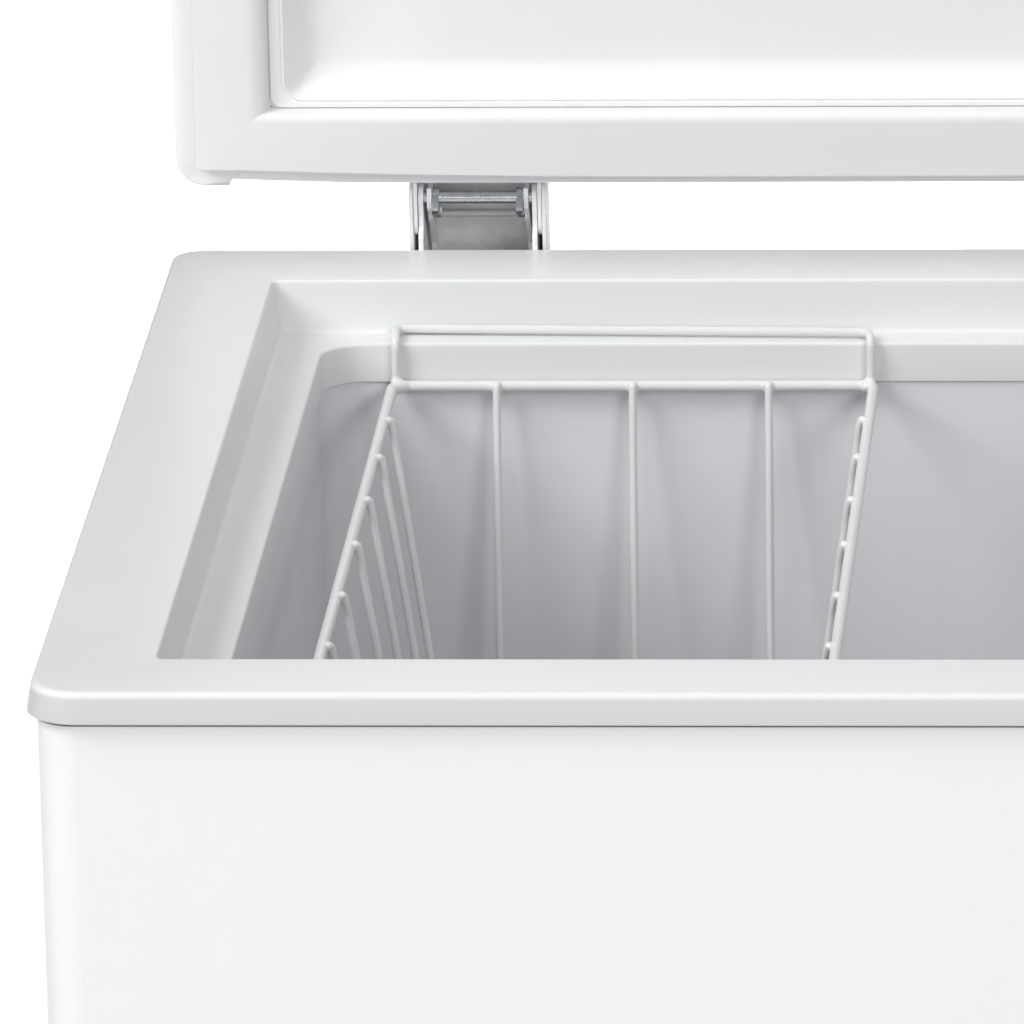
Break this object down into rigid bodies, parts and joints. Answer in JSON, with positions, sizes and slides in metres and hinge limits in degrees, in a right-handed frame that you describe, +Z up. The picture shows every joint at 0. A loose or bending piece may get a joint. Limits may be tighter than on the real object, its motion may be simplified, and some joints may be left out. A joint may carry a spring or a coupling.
{
  "type": "chest freezer",
  "caption": "Foamed chest freezer with a hinged lid held by spring hinges, a sliding wire basket on an inner ledge, and a compressor bay under a step.",
  "frame": {"origin": "on the floor, under the middle of the box round the whole object with its lid open", "axes": "+Z up, -Y towards the user at the front, +X to the right as seen from the front"},
  "size_m": [0.95, 0.5778, 1.3735],
  "materials": {
    "skin_white": "gloss",
    "collar_white": "satin",
    "liner_white": "satin",
    "lid_panel_white": "satin",
    "trim_white": "satin",
    "gasket_white": "matte",
    "coated_wire": "gloss",
    "galvanised": "satin",
    "bright_steel": "polished",
    "spring_steel": "satin",
    "foam": "matte",
    "aluminium_tube": "satin",
    "copper_tube": "satin",
    "black_paint": "satin",
    "black_rubber": "matte",
    "black_plastic": "matte",
    "dark_plastic": "matte",
    "lamp_green": "gloss",
    "lamp_amber": "gloss"
  },
  "bodies": {
    "cabinet": {"cabinet_shell": "skin_white", "rear_panel": "galvanised", "base_pan": "galvanised", "top_collar": "collar_white", "inner_liner": "liner_white", "foam_insulation": "foam", "evaporator_coil": "aluminium_tube", "condenser_coil": "copper_tube", "compressor_bay": "galvanised", "compressor_plate": "black_paint", "compressor": "black_paint", "compressor_grommets": "black_rubber", "compressor_bolts": "bright_steel", "start_relay": "black_plastic", "filter_drier": "copper_tube", "refrigerant_pipes": "copper_tube", "vent_grille": "trim_white", "bay_cover": "galvanised", "panel_screws": "bright_steel", "cord_gland": "black_rubber", "control_bezel": "trim_white", "power_lamp": "lamp_green", "run_lamp": "lamp_amber", "thermostat_body": "dark_plastic", "drain_tube": "trim_white", "feet": "dark_plastic", "foot_screws": "bright_steel", "hinge_base_left": "galvanised", "hinge_base_right": "galvanised", "hinge_cover_left": "trim_white", "hinge_cover_right": "trim_white", "hinge_screws": "bright_steel", "spring_left": "spring_steel", "spring_right": "spring_steel"},
    "lid": {"lid_shell": "skin_white", "lid_inner_panel": "lid_panel_white", "lid_foam": "foam", "lid_gasket": "gasket_white", "lid_handle": "trim_white", "handle_screws": "bright_steel", "hinge_arm_left": "skin_white", "hinge_arm_right": "skin_white", "arm_screws": "bright_steel", "pivot_pin_left": "bright_steel", "pivot_pin_right": "bright_steel", "cams_left": "bright_steel", "cams_right": "bright_steel"},
    "left_plunger": {"plunger_left": "galvanised", "rollers_left": "bright_steel"},
    "right_plunger": {"plunger_right": "galvanised", "rollers_right": "bright_steel"},
    "basket": {"basket_rim": "coated_wire", "basket_cross_wires": "coated_wire", "basket_long_wires": "coated_wire", "basket_hoop": "coated_wire"},
    "knob": {"thermostat_knob": "trim_white"},
    "inner_drain_plug": {"drain_plug": "trim_white"},
    "outer_drain_cap": {"drain_cap": "trim_white"}
  },
  "joints": [
    {"name": "lid_hinge", "type": "hinge", "parent": "cabinet", "child": "lid", "pos_m": [0, 0.2516, 0.813], "axis": [1, 0, 0], "range_deg": [0, 90]},
    {"name": "left_plunger_slide", "type": "slide", "parent": "cabinet", "child": "left_plunger", "axis": [0, 0, -1], "range_m": [0, 0.0061], "deforming": ["spring_left"]},
    {"name": "right_plunger_slide", "type": "slide", "parent": "cabinet", "child": "right_plunger", "axis": [0, 0, -1], "range_m": [0, 0.0061], "deforming": ["spring_right"]},
    {"name": "basket_slide", "type": "slide", "parent": "cabinet", "child": "basket", "axis": [1, 0, 0], "range_m": [-0.016, 0.607]},
    {"name": "thermostat_turn", "type": "hinge", "parent": "cabinet", "child": "knob", "pos_m": [0.383, -0.2839, 0.13], "axis": [0, 1, 0], "range_deg": [0, 270]},
    {"name": "drain_plug_pull", "type": "slide", "parent": "cabinet", "child": "inner_drain_plug", "axis": [0, 0, 1], "range_m": [0, 0.03]},
    {"name": "drain_cap_pull", "type": "slide", "parent": "cabinet", "child": "outer_drain_cap", "axis": [0, -1, 0], "range_m": [0, 0.03]}
  ],
  "couplings": [
    {"joint": "left_plunger_slide", "follows": "lid_hinge", "m_per_rad": 0.0038197},
    {"joint": "right_plunger_slide", "follows": "lid_hinge", "m_per_rad": 0.0038197}
  ]
}
